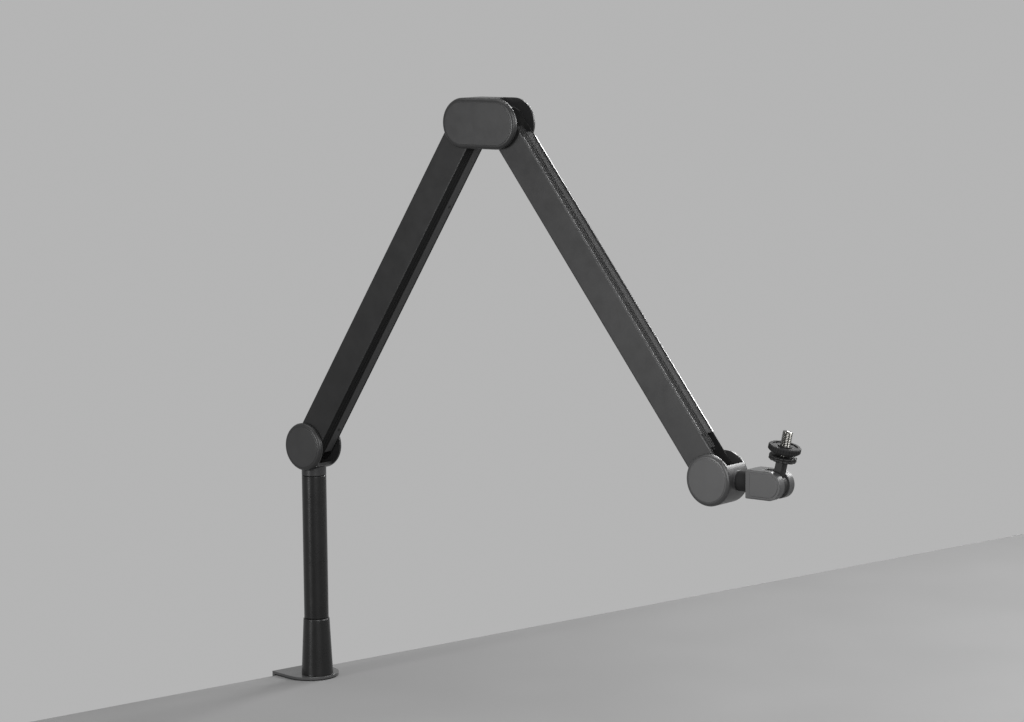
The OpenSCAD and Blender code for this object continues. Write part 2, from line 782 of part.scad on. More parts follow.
// The head: cheeks, a wall towards the fork and the neck with its swivel pin
module head_hub() {
  pin_len = 14;
  color("#303032") at_head() {
    difference() {
      union() {
        cheek_pair() {
          circle(r = cheek_r);
          circle(r = disc_r);
        }
        round_web(-96, 38);
      }
      bolt_holes();
    }
    core_lug(upper_link_dir, web_r + 1, -4);
    difference() {
      translate([web_r, 0, 0]) rotate([0, 90, 0]) cylinder(d = neck_d, h = fork_start - 0.4 - web_r);
      rod_y(web_r + 0.5, -disc_d, disc_d);
    }
    translate([disc_r, 0, 0]) rotate([0, 90, 0]) cylinder(d = swivel_d, h = fork_start + pin_len - disc_r);
  }
}

module head_cap_front() { at_head() round_cap(); }
module head_cap_back() { at_head() mirror([0, 1, 0]) round_cap(); }
module head_bolt() { at_head() pivot_bolt(); }
module head_nut() { at_head() pivot_nut(); }
module head_link_pin() { at_head() link_pin(upper_link_dir); }

// The fork: a solid root and two ears with round ends
module fork_arm() {
  end_r = fork_h / 2;
  slot = tongue_t + 2 * 0.3;
  slot_len = 24;
  r = 1.2;
  color("#38383a") at_head() difference() {
    intersection() {
      slab(-fork_depth / 2, fork_depth / 2) {
        translate([fork_start + r, -end_r]) square([fork_len - end_r - r, fork_h]);
        translate([fork_start, -end_r + r]) square([fork_len - end_r, fork_h - 2 * r]);
        for (s = [-1, 1]) translate([fork_start + r, s * (end_r - r)]) circle(r = r, $fn = 32);
        translate([fork_start + fork_len - end_r, 0]) circle(r = end_r);
      }
      translate([fork_start - 1, 0, 0]) rotate([90, 0, 90]) linear_extrude(fork_len + 2)
        rounded(fork_depth, fork_h + 2 * EPS, 1);
    }
    translate([fork_start + fork_len - slot_len, -slot / 2, -fork_h]) cube([slot_len + 1, slot, 2 * fork_h]);
    translate([fork_start - EPS, 0, 0]) rotate([0, 90, 0]) cylinder(r = swivel_d / 2 + 1.5, h = 14.6);
    translate([tilt_x, 0, 0]) {
      rod_y(tilt_bolt_d / 2 + SEAT, -fork_depth / 2 + ear_skin + 1, fork_depth);
      rod_y(4 + SEAT, -fork_depth / 2 + ear_skin, -tongue_t / 2);
      rod_y(5 + SEAT, fork_depth / 2 - 2.4, fork_depth);
    }
  }
}

module fork_bush() {
  color("#d8d6cf") at_head() difference() {
    translate([fork_start - 0.2, 0, 0]) rotate([0, 90, 0]) cylinder(r = swivel_d / 2 + 1.5 - SEAT, h = 14.4);
    translate([fork_start - 1, 0, 0]) rotate([0, 90, 0]) cylinder(r = swivel_d / 2 + RUN, h = 20);
  }
}

module tilt_bolt() {
  color("#6e7175") at_head() translate([tilt_x, 0, 0]) {
    rod_y(tilt_bolt_d / 2, -fork_depth / 2 + ear_skin + 0.5, fork_depth / 2 - 2.4 + EPS);
    rod_y(5, fork_depth / 2 - 2.4 + 2 * EPS, fork_depth / 2 - 0.3);
  }
}

// The threaded insert in the front ear, which hides the end of the bolt
module tilt_nut() {
  color("#6e7175") at_head() translate([tilt_x, 0, 0]) difference() {
    rod_y(4, -fork_depth / 2 + ear_skin + WASH, -tongue_t / 2 - 0.4);
    rod_y(tilt_bolt_d / 2 + SEAT, -fork_depth / 2 + ear_skin + 0.4, fork_depth);
  }
}

// The tilting mount: tongue, stem and flange in one piece
module mount_stem() {
  tongue_r = 10;
  stem_z0 = 17;
  color("#2b2b2d") at_mount() difference() {
    union() {
      slab(-tongue_t / 2, tongue_t / 2) {
        circle(r = tongue_r);
        translate([-stem_d / 2, 0]) square([stem_d, stem_z0 + 1]);
      }
      rotate_extrude() polygon([
        [0, stem_z0], [stem_d / 2 - 0.6, stem_z0], [stem_d / 2, stem_z0 + 0.6], [stem_d / 2, flange_z - 1],
        [flange_d / 2 - 3, flange_z], [flange_d / 2, flange_z + 2], [flange_d / 2, flange_z + flange_t - 0.6],
        [flange_d / 2 - 0.6, flange_z + flange_t], [0, flange_z + flange_t]]);
    }
    rod_y(tilt_bolt_d / 2 + RUN, -half, half);
    translate([0, 0, flange_z - 3]) cylinder(r = stud_d / 2 - 0.4 + SEAT, h = flange_t + 10);
  }
}

module mount_stud() {
  r = stud_d / 2;
  z0 = flange_z + flange_t + 0.05;
  color("#c6c8cb") at_mount() rotate_extrude() polygon([
    [0, flange_z - 3 + 0.05], [r - 0.4, flange_z - 3 + 0.05], [r - 0.4, z0], [r, z0],
    [r, lock_z1 - relief_h], [r - 0.5, lock_z1 - relief_h + 0.1], [r - 0.5, lock_z1 - 0.1], [r, lock_z1],
    [r, stud_top - CHAMFER], [r - CHAMFER, stud_top], [0, stud_top]]);
}

module lock_washer() {
  color("#101012") at_mount() translate([0, 0, lock_z0 - washer_h - WASH]) difference() {
    cylinder(d = lock_d - 5, h = washer_h);
    translate([0, 0, -EPS]) cylinder(r = stud_d / 2 + RUN, h = washer_h + 1);
  }
}

module lock_disc() {
  groove_r = 0.55;
  color("#1f1f21") at_mount() translate([0, 0, lock_z0]) difference() {
    rotate_extrude() polygon([
      [0, 0], [lock_d / 2 - 1, 0], [lock_d / 2, 1], [lock_d / 2, lock_t - 1], [lock_d / 2 - 1, lock_t], [0, lock_t]]);
    translate([0, 0, -EPS]) cylinder(r = stud_d / 2 + RUN, h = lock_t + 1);
    translate([0, 0, lock_t - 1]) difference() {
      cylinder(r = lock_d / 2 - 3.5, h = 2);
      translate([0, 0, -EPS]) cylinder(r = stud_d / 2 + 2, h = 3);
    }
    for (i = [0:lock_ribs - 1]) rotate([0, 0, i * 360 / lock_ribs])
      translate([lock_d / 2 + 0.1, 0, -EPS]) cylinder(r = groove_r, h = lock_t + 1, $fn = 6);
  }
}

clamp_frame();
clamp_pad();
riser_socket();
socket_bush();
socket_bolts();
pressure_cup();
cup_rubber();
clamp_screw();
clamp_knob();
riser_tube();
riser_plug();
riser_bush();
riser_seam();
shoulder_yoke();
shoulder_seam();
shoulder_cap_front();
shoulder_cap_back();
shoulder_bolt();
shoulder_nut();
shoulder_link_pin();
lower_arm_tube();
lower_arm_cover();
lower_arm_bushes();
lower_arm_washers();
lower_spring_pin();
lower_spring();
lower_link();
elbow_frame();
elbow_cover_front();
elbow_cover_back();
elbow_bolts();
elbow_nuts();
elbow_link_pins();
upper_arm_tube();
upper_arm_cover();
upper_arm_bushes();
upper_arm_washers();
upper_spring_pin();
upper_spring();
upper_link();
head_hub();
head_cap_front();
head_cap_back();
head_bolt();
head_nut();
head_link_pin();
fork_arm();
fork_bush();
tilt_bolt();
tilt_nut();
mount_stem();
mount_stud();
lock_washer();
lock_disc();
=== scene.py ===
import math

import bmesh
import bpy
from mathutils import Matrix, Vector


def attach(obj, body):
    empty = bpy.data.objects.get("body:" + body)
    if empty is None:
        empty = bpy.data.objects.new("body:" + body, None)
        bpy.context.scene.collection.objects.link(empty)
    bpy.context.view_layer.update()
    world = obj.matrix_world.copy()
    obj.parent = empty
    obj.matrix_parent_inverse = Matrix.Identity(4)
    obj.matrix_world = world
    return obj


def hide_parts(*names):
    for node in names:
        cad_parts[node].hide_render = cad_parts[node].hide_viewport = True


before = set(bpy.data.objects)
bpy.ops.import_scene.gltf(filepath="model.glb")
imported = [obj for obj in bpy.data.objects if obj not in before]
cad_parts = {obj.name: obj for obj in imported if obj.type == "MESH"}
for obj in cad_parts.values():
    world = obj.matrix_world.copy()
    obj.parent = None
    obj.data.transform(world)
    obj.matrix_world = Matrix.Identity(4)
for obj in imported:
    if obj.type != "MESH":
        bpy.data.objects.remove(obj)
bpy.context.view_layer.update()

MM = 0.001

# Sizes of the arm as in the CAD source, in millimetres and degrees
CLAMP_TURN = -11.5
PLATE_BACK = 40.6
SPINE_T = 4.0
DESK_T = 30.0
SCREW_BACK = 8.0
SCREW_D = 10.0
SLEEVE_TOP = 63.0
SEAM_H = 0.5
RISER_LEN = 150.0
SHOULDER_RISE = 30.5
LOWER_LEN = 401.4
UPPER_LEN = 408.2
LOWER_DEG = 57.4
UPPER_DEG = 52.4
ELBOW_GAP = 41.2
ARM_H = 32.4
UPPER_DEPTH = 20.0
DISC_D = 49.2
JOINT_DEPTH = 35.4
FORK_DEPTH = 24.4
FORK_H = 27.0
FORK_START = 39.3
FORK_LEN = 38.0
TILT_BACK = 11.0
MOUNT_LEAN = 13.0
FLANGE_Z = 24.0
FLANGE_T = 5.0
LOCK_GAP = 4.0
LOCK_T = 5.6
STUD_D = 9.525
STUD_FREE = 14.0

# The pivots and the fork's near end at rest, in millimetres, and the slopes of the two arms
low = math.radians(LOWER_DEG)
upp = math.radians(UPPER_DEG)
shoulder = Vector((0, 0, SLEEVE_TOP + 2 * SEAM_H + RISER_LEN + SHOULDER_RISE))
elbow = shoulder + Vector((math.cos(low), 0, math.sin(low))) * LOWER_LEN
elbow2 = elbow + Vector((ELBOW_GAP, 0, 0))
head = elbow2 + Vector((math.cos(upp), 0, -math.sin(upp))) * UPPER_LEN
fork_at = head + Vector((FORK_START, 0, 0))
tilt = head + Vector((FORK_START + FORK_LEN - TILT_BACK, 0, 0))

scene = bpy.context.scene
scene.view_settings.view_transform = "Standard"


def mm(v):
    """A point in millimetres as a vector in metres."""
    return Vector(v) * MM


# Frames of the sub-parts: each arm's X runs along it from its near pivot
CLAMP = Matrix.Rotation(math.radians(CLAMP_TURN), 4, "Z")
LOWER = Matrix.Translation(mm(shoulder)) @ Matrix.Rotation(-low, 4, "Y")
UPPER = Matrix.Translation(mm(elbow2)) @ Matrix.Rotation(upp, 4, "Y")
MOUNT = Matrix.Translation(mm(tilt)) @ Matrix.Rotation(math.radians(MOUNT_LEAN), 4, "Y")

# Scales of the finishes' patterns in cells per metre, and the heights of their marks in metres
TONE_SCALE = 14.0
WEAR_SCALE = 60.0
COAT_GRAIN = 2600.0
BRUSH_SCALE = 900.0
COAT_RELIEF = 0.00004
BRUSH_RELIEF = 0.00003

# How far a finish's tone goes down and up, as shares of it
TONE_DOWN = 0.86
TONE_UP = 1.12
STEEL_DOWN = 0.8

# What a matte side is like: duller than the rest of its part, and darker as painted shade
MATTE_ROUGH = 0.72
MATTE_SPEC = 0.08
MATTE_SHADE_TONE = 0.5


class Graph:
    """The nodes of one material: a Principled shader with the object's own coordinates, in metres."""

    def __init__(self, name):
        self.mat = bpy.data.materials.new(name)
        self.mat.use_nodes = True
        self.nodes = self.mat.node_tree.nodes
        self.links = self.mat.node_tree.links
        self.nodes.clear()
        out = self.node("ShaderNodeOutputMaterial")
        self.bsdf = self.node("ShaderNodeBsdfPrincipled")
        self.links.new(self.bsdf.outputs[0], out.inputs[0])
        self.coord = self.node("ShaderNodeTexCoord").outputs["Object"]

    def node(self, kind, **values):
        n = self.nodes.new(kind)
        for key, value in values.items():
            setattr(n, key, value)
        return n

    def feed(self, value, socket):
        self.links.new(value, self.bsdf.inputs[socket])

    def set(self, socket, value):
        self.bsdf.inputs[socket].default_value = value

    def noise(self, scale, detail=4.0, rough=0.55, stretch=None):
        n = self.node("ShaderNodeTexNoise")
        n.inputs["Scale"].default_value = scale
        n.inputs["Detail"].default_value = detail
        n.inputs["Roughness"].default_value = rough
        source = self.coord
        if stretch:
            m = self.node("ShaderNodeMapping")
            m.inputs["Scale"].default_value = stretch
            self.links.new(source, m.inputs["Vector"])
            source = m.outputs[0]
        self.links.new(source, n.inputs["Vector"])
        return n.outputs["Fac"]

    def spread(self, value, low_in, high_in, low_out, high_out):
        """Map a range of values to another one, clamped at its ends."""
        r = self.node("ShaderNodeMapRange")
        for i, v in enumerate((low_in, high_in, low_out, high_out)):
            r.inputs[1 + i].default_value = v
        self.links.new(value, r.inputs[0])
        return r.outputs[0]

    def blend(self, factor, a, b):
        """Mix two colours by a factor."""
        m = self.node("ShaderNodeMix", data_type="RGBA")
        m.inputs[6].default_value = (*a, 1.0)
        m.inputs[7].default_value = (*b, 1.0)
        self.links.new(factor, m.inputs[0])
        return m.outputs[2]

    def beyond(self, point, normal, depth):
        """1 on the side of a part beyond a plane, 0 elsewhere; point and depth in millimetres."""
        d = self.node("ShaderNodeVectorMath", operation="DOT_PRODUCT")
        self.links.new(self.coord, d.inputs[0])
        d.inputs[1].default_value = tuple(normal)
        start = (Vector(point).dot(Vector(normal)) + depth) * MM
        return self.spread(d.outputs["Value"], start, start + 0.1 * MM, 0.0, 1.0)

    def larger(self, a, b):
        m = self.node("ShaderNodeMath", operation="MAXIMUM")
        self.links.new(a, m.inputs[0])
        self.links.new(b, m.inputs[1])
        return m.outputs[0]

    def darkened(self, colour, factor):
        m = self.node("ShaderNodeVectorMath", operation="SCALE")
        self.links.new(colour, m.inputs[0])
        self.links.new(factor, m.inputs["Scale"])
        return m.outputs[0]

    def bump(self, height, strength, distance, bevel=0.0):
        """Relief from a pattern, over edges rounded by the bevel's radius."""
        b = self.node("ShaderNodeBump")
        b.inputs["Strength"].default_value = strength
        b.inputs["Distance"].default_value = distance
        self.links.new(height, b.inputs["Height"])
        if bevel:
            v = self.node("ShaderNodeBevel", samples=6)
            v.inputs["Radius"].default_value = bevel
            self.links.new(v.outputs[0], b.inputs["Normal"])
        self.feed(b.outputs[0], "Normal")


def coated(name, tone, rough, spec=0.5, grain=COAT_GRAIN, bevel=0.0006, strength=0.25, matte=None):
    """Painted or anodised metal, or moulded plastic: fine grain and faint handling marks."""
    g = Graph(name)
    slow = g.spread(g.noise(TONE_SCALE, 3.0), 0.3, 0.7, 0.0, 1.0)
    colour = g.blend(slow, tuple(c * TONE_DOWN for c in tone), tuple(c * TONE_UP for c in tone))
    roughness = g.spread(g.noise(WEAR_SCALE, 5.0, 0.7), 0.25, 0.75, rough - 0.05, rough + 0.06)
    # On a dull side the finish is rougher with less gloss, and its colour is darkened as painted shade
    if matte:
        side = g.beyond(*matte)
        g.feed(g.spread(side, 0.0, 1.0, spec, MATTE_SPEC), "Specular IOR Level")
        roughness = g.larger(roughness, g.spread(side, 0.0, 1.0, 0.0, MATTE_ROUGH))
        colour = g.darkened(colour, g.spread(side, 0.0, 1.0, 1.0, MATTE_SHADE_TONE))
    else:
        g.set("Specular IOR Level", spec)
    g.feed(colour, "Base Color")
    g.feed(roughness, "Roughness")
    g.bump(g.noise(grain, 6.0, 0.6), strength, COAT_RELIEF, bevel)
    return g.mat


def brushed(name, tone, rough, stretch, bevel=0.0004):
    """Bare steel with fine turning or brushing marks."""
    g = Graph(name)
    marks = g.noise(BRUSH_SCALE, 5.0, 0.7, stretch)
    dark = tuple(c * STEEL_DOWN for c in tone)
    g.feed(g.blend(g.spread(marks, 0.3, 0.7, 0, 1), dark, tone), "Base Color")
    g.feed(g.spread(marks, 0.3, 0.7, rough - 0.07, rough + 0.08), "Roughness")
    g.set("Metallic", 1.0)
    g.bump(marks, 0.15, BRUSH_RELIEF, bevel)
    return g.mat


def matte_white(name):
    """The desk: slow, faint changes of tone and a fine texture."""
    g = Graph(name)
    slow = g.spread(g.noise(3.0, 2.0), 0.3, 0.7, 0, 1)
    g.feed(g.blend(slow, (0.19, 0.19, 0.19), (0.21, 0.21, 0.21)), "Base Color")
    g.set("Roughness", 0.8)
    g.set("Specular IOR Level", 0.2)
    g.bump(g.noise(700.0, 4.0), 0.1, 0.0001)
    return g.mat


# Where the dull sides start, which are darkened as painted shade: a pivot, the way out from it and the
# distance to the plane
SIDE_DEPTH = ARM_H / 2 - 0.3
UPPER_SHADED_SIDE = (elbow2, (math.sin(upp), 0, math.cos(upp)), SIDE_DEPTH)
LOWER_SHADED_SIDE = (shoulder, (math.sin(low), 0, -math.cos(low)), SIDE_DEPTH)
# Painted shade in the recess between the hub and the fork: the hub is darkened beyond its neck
HUB_NECK_SHADE = (head, (1, 0, 0), DISC_D / 2 + 0.4)

COATINGS = {
    # Painted light and shade: the two tubes wear a lighter and a darker copy of one black, standing in for
    # the light falling stronger on the upper arm
    "upper_tube_lit_black": dict(
        tone=(0.0145, 0.0145, 0.0148), rough=0.33, spec=0.38, bevel=0.0010, strength=0.03, matte=UPPER_SHADED_SIDE),
    "lower_tube_shaded_black": dict(
        tone=(0.0085, 0.0085, 0.0087), rough=0.33, spec=0.34, bevel=0.0010, strength=0.10, matte=LOWER_SHADED_SIDE),
    "column_black": dict(tone=(0.005, 0.005, 0.0051), rough=0.28, spec=0.36, strength=0.08),
    "cap_black": dict(tone=(0.020, 0.020, 0.0204), rough=0.36, spec=0.42),
    # Painted shade: the caps' rims are a darker copy of their faces' black
    "cap_rim_shaded_black": dict(tone=(0.019, 0.019, 0.0193), rough=0.36, spec=0.30, bevel=0.0012, strength=0.12),
    # Painted light: the head's blacks on this line and the two below are lighter copies of the joints'
    # black, standing in for stronger light on the head
    "head_lit_black": dict(tone=(0.038, 0.038, 0.0386), rough=0.36, spec=0.45),
    # Painted shade: the head caps' rims are a darker copy of the head faces' black
    "head_rim_shaded_black": dict(tone=(0.032, 0.032, 0.0325), rough=0.36, spec=0.45, bevel=0.0012),
    "hub_lit_black": dict(tone=(0.030, 0.030, 0.0305), rough=0.34, matte=HUB_NECK_SHADE),
    "lock_black": dict(tone=(0.012, 0.012, 0.0122), rough=0.62, spec=0.12, bevel=0.0005, strength=0.1),
    "frame_black": dict(tone=(0.020, 0.020, 0.0205), rough=0.36, spec=0.30),
    "clamp_black": dict(tone=(0.045, 0.045, 0.0455), rough=0.22, spec=0.6, strength=0.30, grain=1800.0),
    "strip_black": dict(tone=(0.022, 0.022, 0.0225), rough=0.50, spec=0.22, strength=0.12),
    # Painted shade: the upper cover strip is a darker copy of the lower strip's black, which keeps its
    # up-facing side dark
    "upper_strip_shaded_black": dict(tone=(0.014, 0.014, 0.0142), rough=0.62, spec=0.10, strength=0.04),
    "knob_black": dict(tone=(0.018, 0.018, 0.018), rough=0.55, strength=0.6, grain=1500.0, bevel=0.0009),
    "trim_black": dict(tone=(0.009, 0.009, 0.009), rough=0.46, spec=0.26, bevel=0.0004, strength=0.1),
    "screw_black": dict(tone=(0.004, 0.004, 0.004), rough=0.5, spec=0.2, bevel=0.0),
    # Painted highlight: the two edge strips' blacks are lighter than the tube's own
    "edge_highlight_black": dict(tone=(0.030, 0.030, 0.0305), rough=0.20, spec=0.6, bevel=0.0, strength=0.01),
    "line_highlight_black": dict(tone=(0.034, 0.034, 0.0345), rough=0.42, spec=0.34, bevel=0.0, strength=0.01),
    "rubber_black": dict(tone=(0.010, 0.010, 0.010), rough=0.82, spec=0.3, strength=0.8, grain=1300.0),
    "nylon": dict(tone=(0.62, 0.61, 0.57), rough=0.5, grain=1500.0),
}
STEELS = {
    "zinc": dict(tone=(0.46, 0.47, 0.48), rough=0.36, stretch=(1.0, 6.0, 1.0)),
    "spring_steel": dict(tone=(0.40, 0.41, 0.42), rough=0.3, stretch=(1.0, 1.0, 1.0)),
    "stud_steel": dict(tone=(0.17, 0.167, 0.157), rough=0.17, stretch=(5.0, 5.0, 0.6)),
}
finishes = {name: coated(name, **values) for name, values in COATINGS.items()}
finishes.update({name: brushed(name, **values) for name, values in STEELS.items()})

# The CAD nodes that wear each finish
WORN_BY = {
    "clamp_black": ["clamp_frame", "pressure_cup"],
    "rubber_black": ["clamp_pad", "cup_rubber", "lock_washer"],
    "upper_tube_lit_black": ["upper_arm_tube"],
    "lower_tube_shaded_black": ["lower_arm_tube"],
    "column_black": ["riser_tube", "riser_socket"],
    "frame_black": ["shoulder_yoke", "elbow_frame"],
    "hub_lit_black": ["head_hub"],
    "cap_rim_shaded_black": ["shoulder_cap_front", "shoulder_cap_back", "elbow_cover_front", "elbow_cover_back"],
    "head_rim_shaded_black": ["head_cap_front", "head_cap_back"],
    "head_lit_black": ["fork_arm"],
    "lock_black": ["lock_disc"],
    "strip_black": ["lower_arm_cover"],
    "upper_strip_shaded_black": ["upper_arm_cover"],
    "knob_black": ["clamp_knob"],
    "trim_black": ["riser_seam", "shoulder_seam", "mount_stem", "tilt_bolt", "tilt_nut"],
    "nylon": [
        "socket_bush", "riser_bush", "lower_arm_bushes", "upper_arm_bushes", "lower_arm_washers",
        "upper_arm_washers", "fork_bush",
    ],
    "zinc": [
        "socket_bolts", "clamp_screw", "riser_plug", "shoulder_bolt", "shoulder_nut", "elbow_bolts",
        "elbow_nuts", "head_bolt", "head_nut", "shoulder_link_pin", "elbow_link_pins", "head_link_pin",
        "lower_spring_pin", "upper_spring_pin", "lower_link", "upper_link",
    ],
    "spring_steel": ["lower_spring", "upper_spring"],
    "stud_steel": ["mount_stud"],
}


def dress_nodes():
    for finish, names in WORN_BY.items():
        for name in names:
            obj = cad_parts[name]
            if not obj.material_slots:
                obj.data.materials.append(finishes[finish])
            for s in obj.material_slots:
                s.material = finishes[finish]


dress_nodes()


# Helpers that build meshes; their sizes are in millimetres
def link_obj(name, data):
    obj = bpy.data.objects.new(name, data)
    scene.collection.objects.link(obj)
    return obj


def bm_obj(name, bm):
    """An object with the mesh that was built, which is then freed."""
    mesh = bpy.data.meshes.new(name)
    bm.normal_update()
    bm.to_mesh(mesh)
    bm.free()
    return link_obj(name, mesh)


def place(obj, matrix, body, finish):
    """Give a piece its frame, finish, body and slot."""
    obj.matrix_world = matrix
    obj.data.materials.append(finishes[finish])
    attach(obj, body)
    return obj


def lathe(bm, profile, steps, shape=None):
    """A closed turned solid from (radius, height) points that start and end on the axis."""
    rings = []
    for r, z in profile:
        if r == 0:
            rings.append([bm.verts.new(mm((0, 0, z)))])
            continue
        ring = []
        for i in range(steps):
            a = 2 * math.pi * i / steps
            radius = shape(r, a) if shape else r
            ring.append(bm.verts.new(mm((radius * math.cos(a), radius * math.sin(a), z))))
        rings.append(ring)
    for lower_ring, upper_ring in zip(rings, rings[1:]):
        for i in range(steps):
            j = (i + 1) % steps
            if len(lower_ring) == 1:
                corners = (lower_ring[0], upper_ring[j], upper_ring[i])
            elif len(upper_ring) == 1:
                corners = (lower_ring[i], lower_ring[j], upper_ring[0])
            else:
                corners = (lower_ring[i], lower_ring[j], upper_ring[j], upper_ring[i])
            bm.faces.new(corners).smooth = True


def prism(bm, outline, rise, edge, far_end_only=False):
    """A closed prism over an outline, with the edges of its two ends, or of the far one, rounded."""
    base = [bm.verts.new(mm(p)) for p in outline]
    far = [bm.verts.new(mm(Vector(p) + Vector(rise))) for p in outline]
    near_face = bm.faces.new(base)
    far_face = bm.faces.new(far[::-1])
    faces = [near_face, far_face]
    n = len(base)
    for i in range(n):
        j = (i + 1) % n
        faces.append(bm.faces.new((base[j], base[i], far[i], far[j])))
    bmesh.ops.recalc_face_normals(bm, faces=faces)
    rounded = list(far_face.edges)
    if not far_end_only:
        rounded += list(near_face.edges)
    bmesh.ops.bevel(bm, geom=rounded, offset=edge * MM, segments=2, profile=0.5, affect="EDGES")


# One turn of a thread: shares of the pitch along the screw, and of the depth towards its axis
THREAD_TURN = [(0.0, 0.0), (0.25, 1.0), (0.40, 1.0), (0.65, 0.0), (0.90, 0.0)]
THREAD_DEPTH = 0.6
THREAD_STEPS = 40


def thread(name, radius, pitch, z0, z1, chamfer):
    """A screw with one helical groove, chamfered at its top and closed at both ends."""
    rows = int(round((z1 - z0) / pitch * THREAD_STEPS))
    verts = []
    for i in range(rows + 1):
        a = 2 * math.pi * i / THREAD_STEPS
        for along, inward in THREAD_TURN:
            z = min(max(z0 + pitch * (i / THREAD_STEPS + along - 1.0), z0), z1)
            r = radius - inward * THREAD_DEPTH * pitch
            if z > z1 - chamfer:
                r = min(r, radius - chamfer + (z1 - z))
            verts.append((r * math.cos(a), r * math.sin(a), z))
    n = len(THREAD_TURN)
    faces = []
    for i in range(rows):
        for j in range(n - 1):
            a = i * n + j
            faces.append((a, a + n, a + n + 1, a + 1))
    for i in range(rows - THREAD_STEPS):
        a = i * n + n - 1
        b = (i + THREAD_STEPS) * n
        faces.append((a, a + n, b + n, b))
    foot, top = len(verts), len(verts) + 1
    verts += [(0, 0, z0), (0, 0, z1)]
    for i in range(THREAD_STEPS):
        faces.append((foot, i * n, (i + 1) * n))
        k = (rows - THREAD_STEPS + i) * n + n - 1
        faces.append((top, k + n, k))
    mesh = bpy.data.meshes.new(name)
    mesh.from_pydata([tuple(mm(v)) for v in verts], [], faces)
    mesh.validate()
    bm = bmesh.new()
    bm.from_mesh(mesh)
    bmesh.ops.recalc_face_normals(bm, faces=bm.faces)
    for face in bm.faces:
        face.smooth = True
    bm.to_mesh(mesh)
    bm.free()
    return link_obj(name, mesh)


# The threads: 3/8 inch with 16 turns to the inch on the stud, and 2 mm a turn on the clamp screw
STUD_PITCH = 25.4 / 16
STUD_LIFT = 0.05
STUD_Z0 = FLANGE_Z + FLANGE_T + STUD_LIFT
STUD_Z1 = FLANGE_Z + FLANGE_T + LOCK_GAP + LOCK_T + STUD_FREE
STUD_CHAMFER = 0.9
SCREW_PITCH = 2.0
SCREW_Z0 = -92.0
SCREW_Z1 = -36.55
SCREW_CHAMFER = 1.0
TIP_R = 4.0
TIP_EDGE = 0.6
TIP_SUNK = 0.5
TIP_RISE = 2.6
TIP_STEPS = 48


def stud():
    """The mount's silver stud, threaded over its whole length."""
    obj = thread("stud_thread", STUD_D / 2, STUD_PITCH, STUD_Z0, STUD_Z1, STUD_CHAMFER)
    place(obj, MOUNT, "mic_mount", "stud_steel")
    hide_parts("mount_stud")


def clamp_screw():
    """A threaded screw with a plain tip, which stands in the cup."""
    obj = thread("clamp_screw_thread", SCREW_D / 2, SCREW_PITCH, SCREW_Z0, SCREW_Z1, SCREW_CHAMFER)
    foot, top = SCREW_Z1 - TIP_SUNK, SCREW_Z1 + TIP_RISE
    tip = [(0, foot), (TIP_R, foot), (TIP_R, top - TIP_EDGE), (TIP_R - TIP_EDGE, top), (0, top)]
    bm = bmesh.new()
    bm.from_mesh(obj.data)
    lathe(bm, tip, TIP_STEPS)
    bm.to_mesh(obj.data)
    bm.free()
    at_screw = Matrix.Translation(mm((-SCREW_BACK, 0, 0)))
    place(obj, CLAMP @ at_screw, "screw", "zinc")
    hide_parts("clamp_screw")


# The stem: a flange of (radius, height) points with a groove round its rim and notches across it
FLANGE_R = 13.0
FLANGE = [
    (0, 23.2), (5.2, 23.2), (10.4, 24.0), (12.6, 24.5), (FLANGE_R, 25.0), (FLANGE_R, 25.9), (11.8, 26.5),
    (FLANGE_R, 27.1), (FLANGE_R, 28.4), (12.4, 29.0), (0, 29.0),
]
FLANGE_STEPS = 168
NOTCHES = 14
NOTCH_DEPTH = 1.2
NOTCH_START = 0.35
NOTCH_SLOPE = 3.0
NOTCH_FROM_R = 11.0

# Its neck is a flat-sided bar with cut corners, and its tongue is round
NECK_HALF_X = 5.0
NECK_HALF_Y = 4.0
NECK_CUT = 1.6
NECK_Z0 = 2.0
NECK_LEN = 21.6
NECK_EDGE = 0.3
TONGUE_R = 10.0
TONGUE_T = 8.0
TONGUE_EDGE = 0.5


def notched(r, a):
    """The rim's radius at an angle, with narrow notches at equal steps."""
    bite = min(max((math.cos(NOTCHES * a) - NOTCH_START) * NOTCH_SLOPE, 0.0), 1.0)
    return r - bite * NOTCH_DEPTH if r > NOTCH_FROM_R else r


def stem():
    bm = bmesh.new()
    lathe(bm, FLANGE, FLANGE_STEPS, notched)
    x, y, cut = NECK_HALF_X, NECK_HALF_Y, NECK_CUT
    neck = [(x, y - cut), (x - cut, y), (cut - x, y), (-x, y - cut)]
    neck += [(-px, -py) for px, py in neck]
    prism(bm, [(px, py, NECK_Z0) for px, py in neck], (0, 0, NECK_LEN), NECK_EDGE)
    tongue = []
    for degrees in range(0, 360, 5):
        a = math.radians(degrees)
        tongue.append((TONGUE_R * math.cos(a), TONGUE_T / 2, TONGUE_R * math.sin(a)))
    prism(bm, tongue, (0, -TONGUE_T, 0), TONGUE_EDGE)
    obj = place(bm_obj("stem_detailed", bm), MOUNT, "mic_mount", "trim_black")
    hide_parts("mount_stem")


# Shallow raised faces on the round caps, the elbow's long covers and the fork's sides
FACE_RISE = 0.3
FACE_SUNK = 0.15
FACE_EDGE = 0.28
CAP_RIM = 4.0
FACE_R = DISC_D / 2 - CAP_RIM
FACE_STEPS = 48
FORK_FACE_X0 = 4.5
FORK_FACE_INSET = 2.6


def stadium(radius, half_gap):
    """A circle whose halves are moved apart along X."""
    points = []
    for i in range(2 * FACE_STEPS):
        a = math.pi * (i + 0.5) / FACE_STEPS
        points.append((radius * math.cos(a) + math.copysign(half_gap, math.cos(a)), radius * math.sin(a)))
    return points


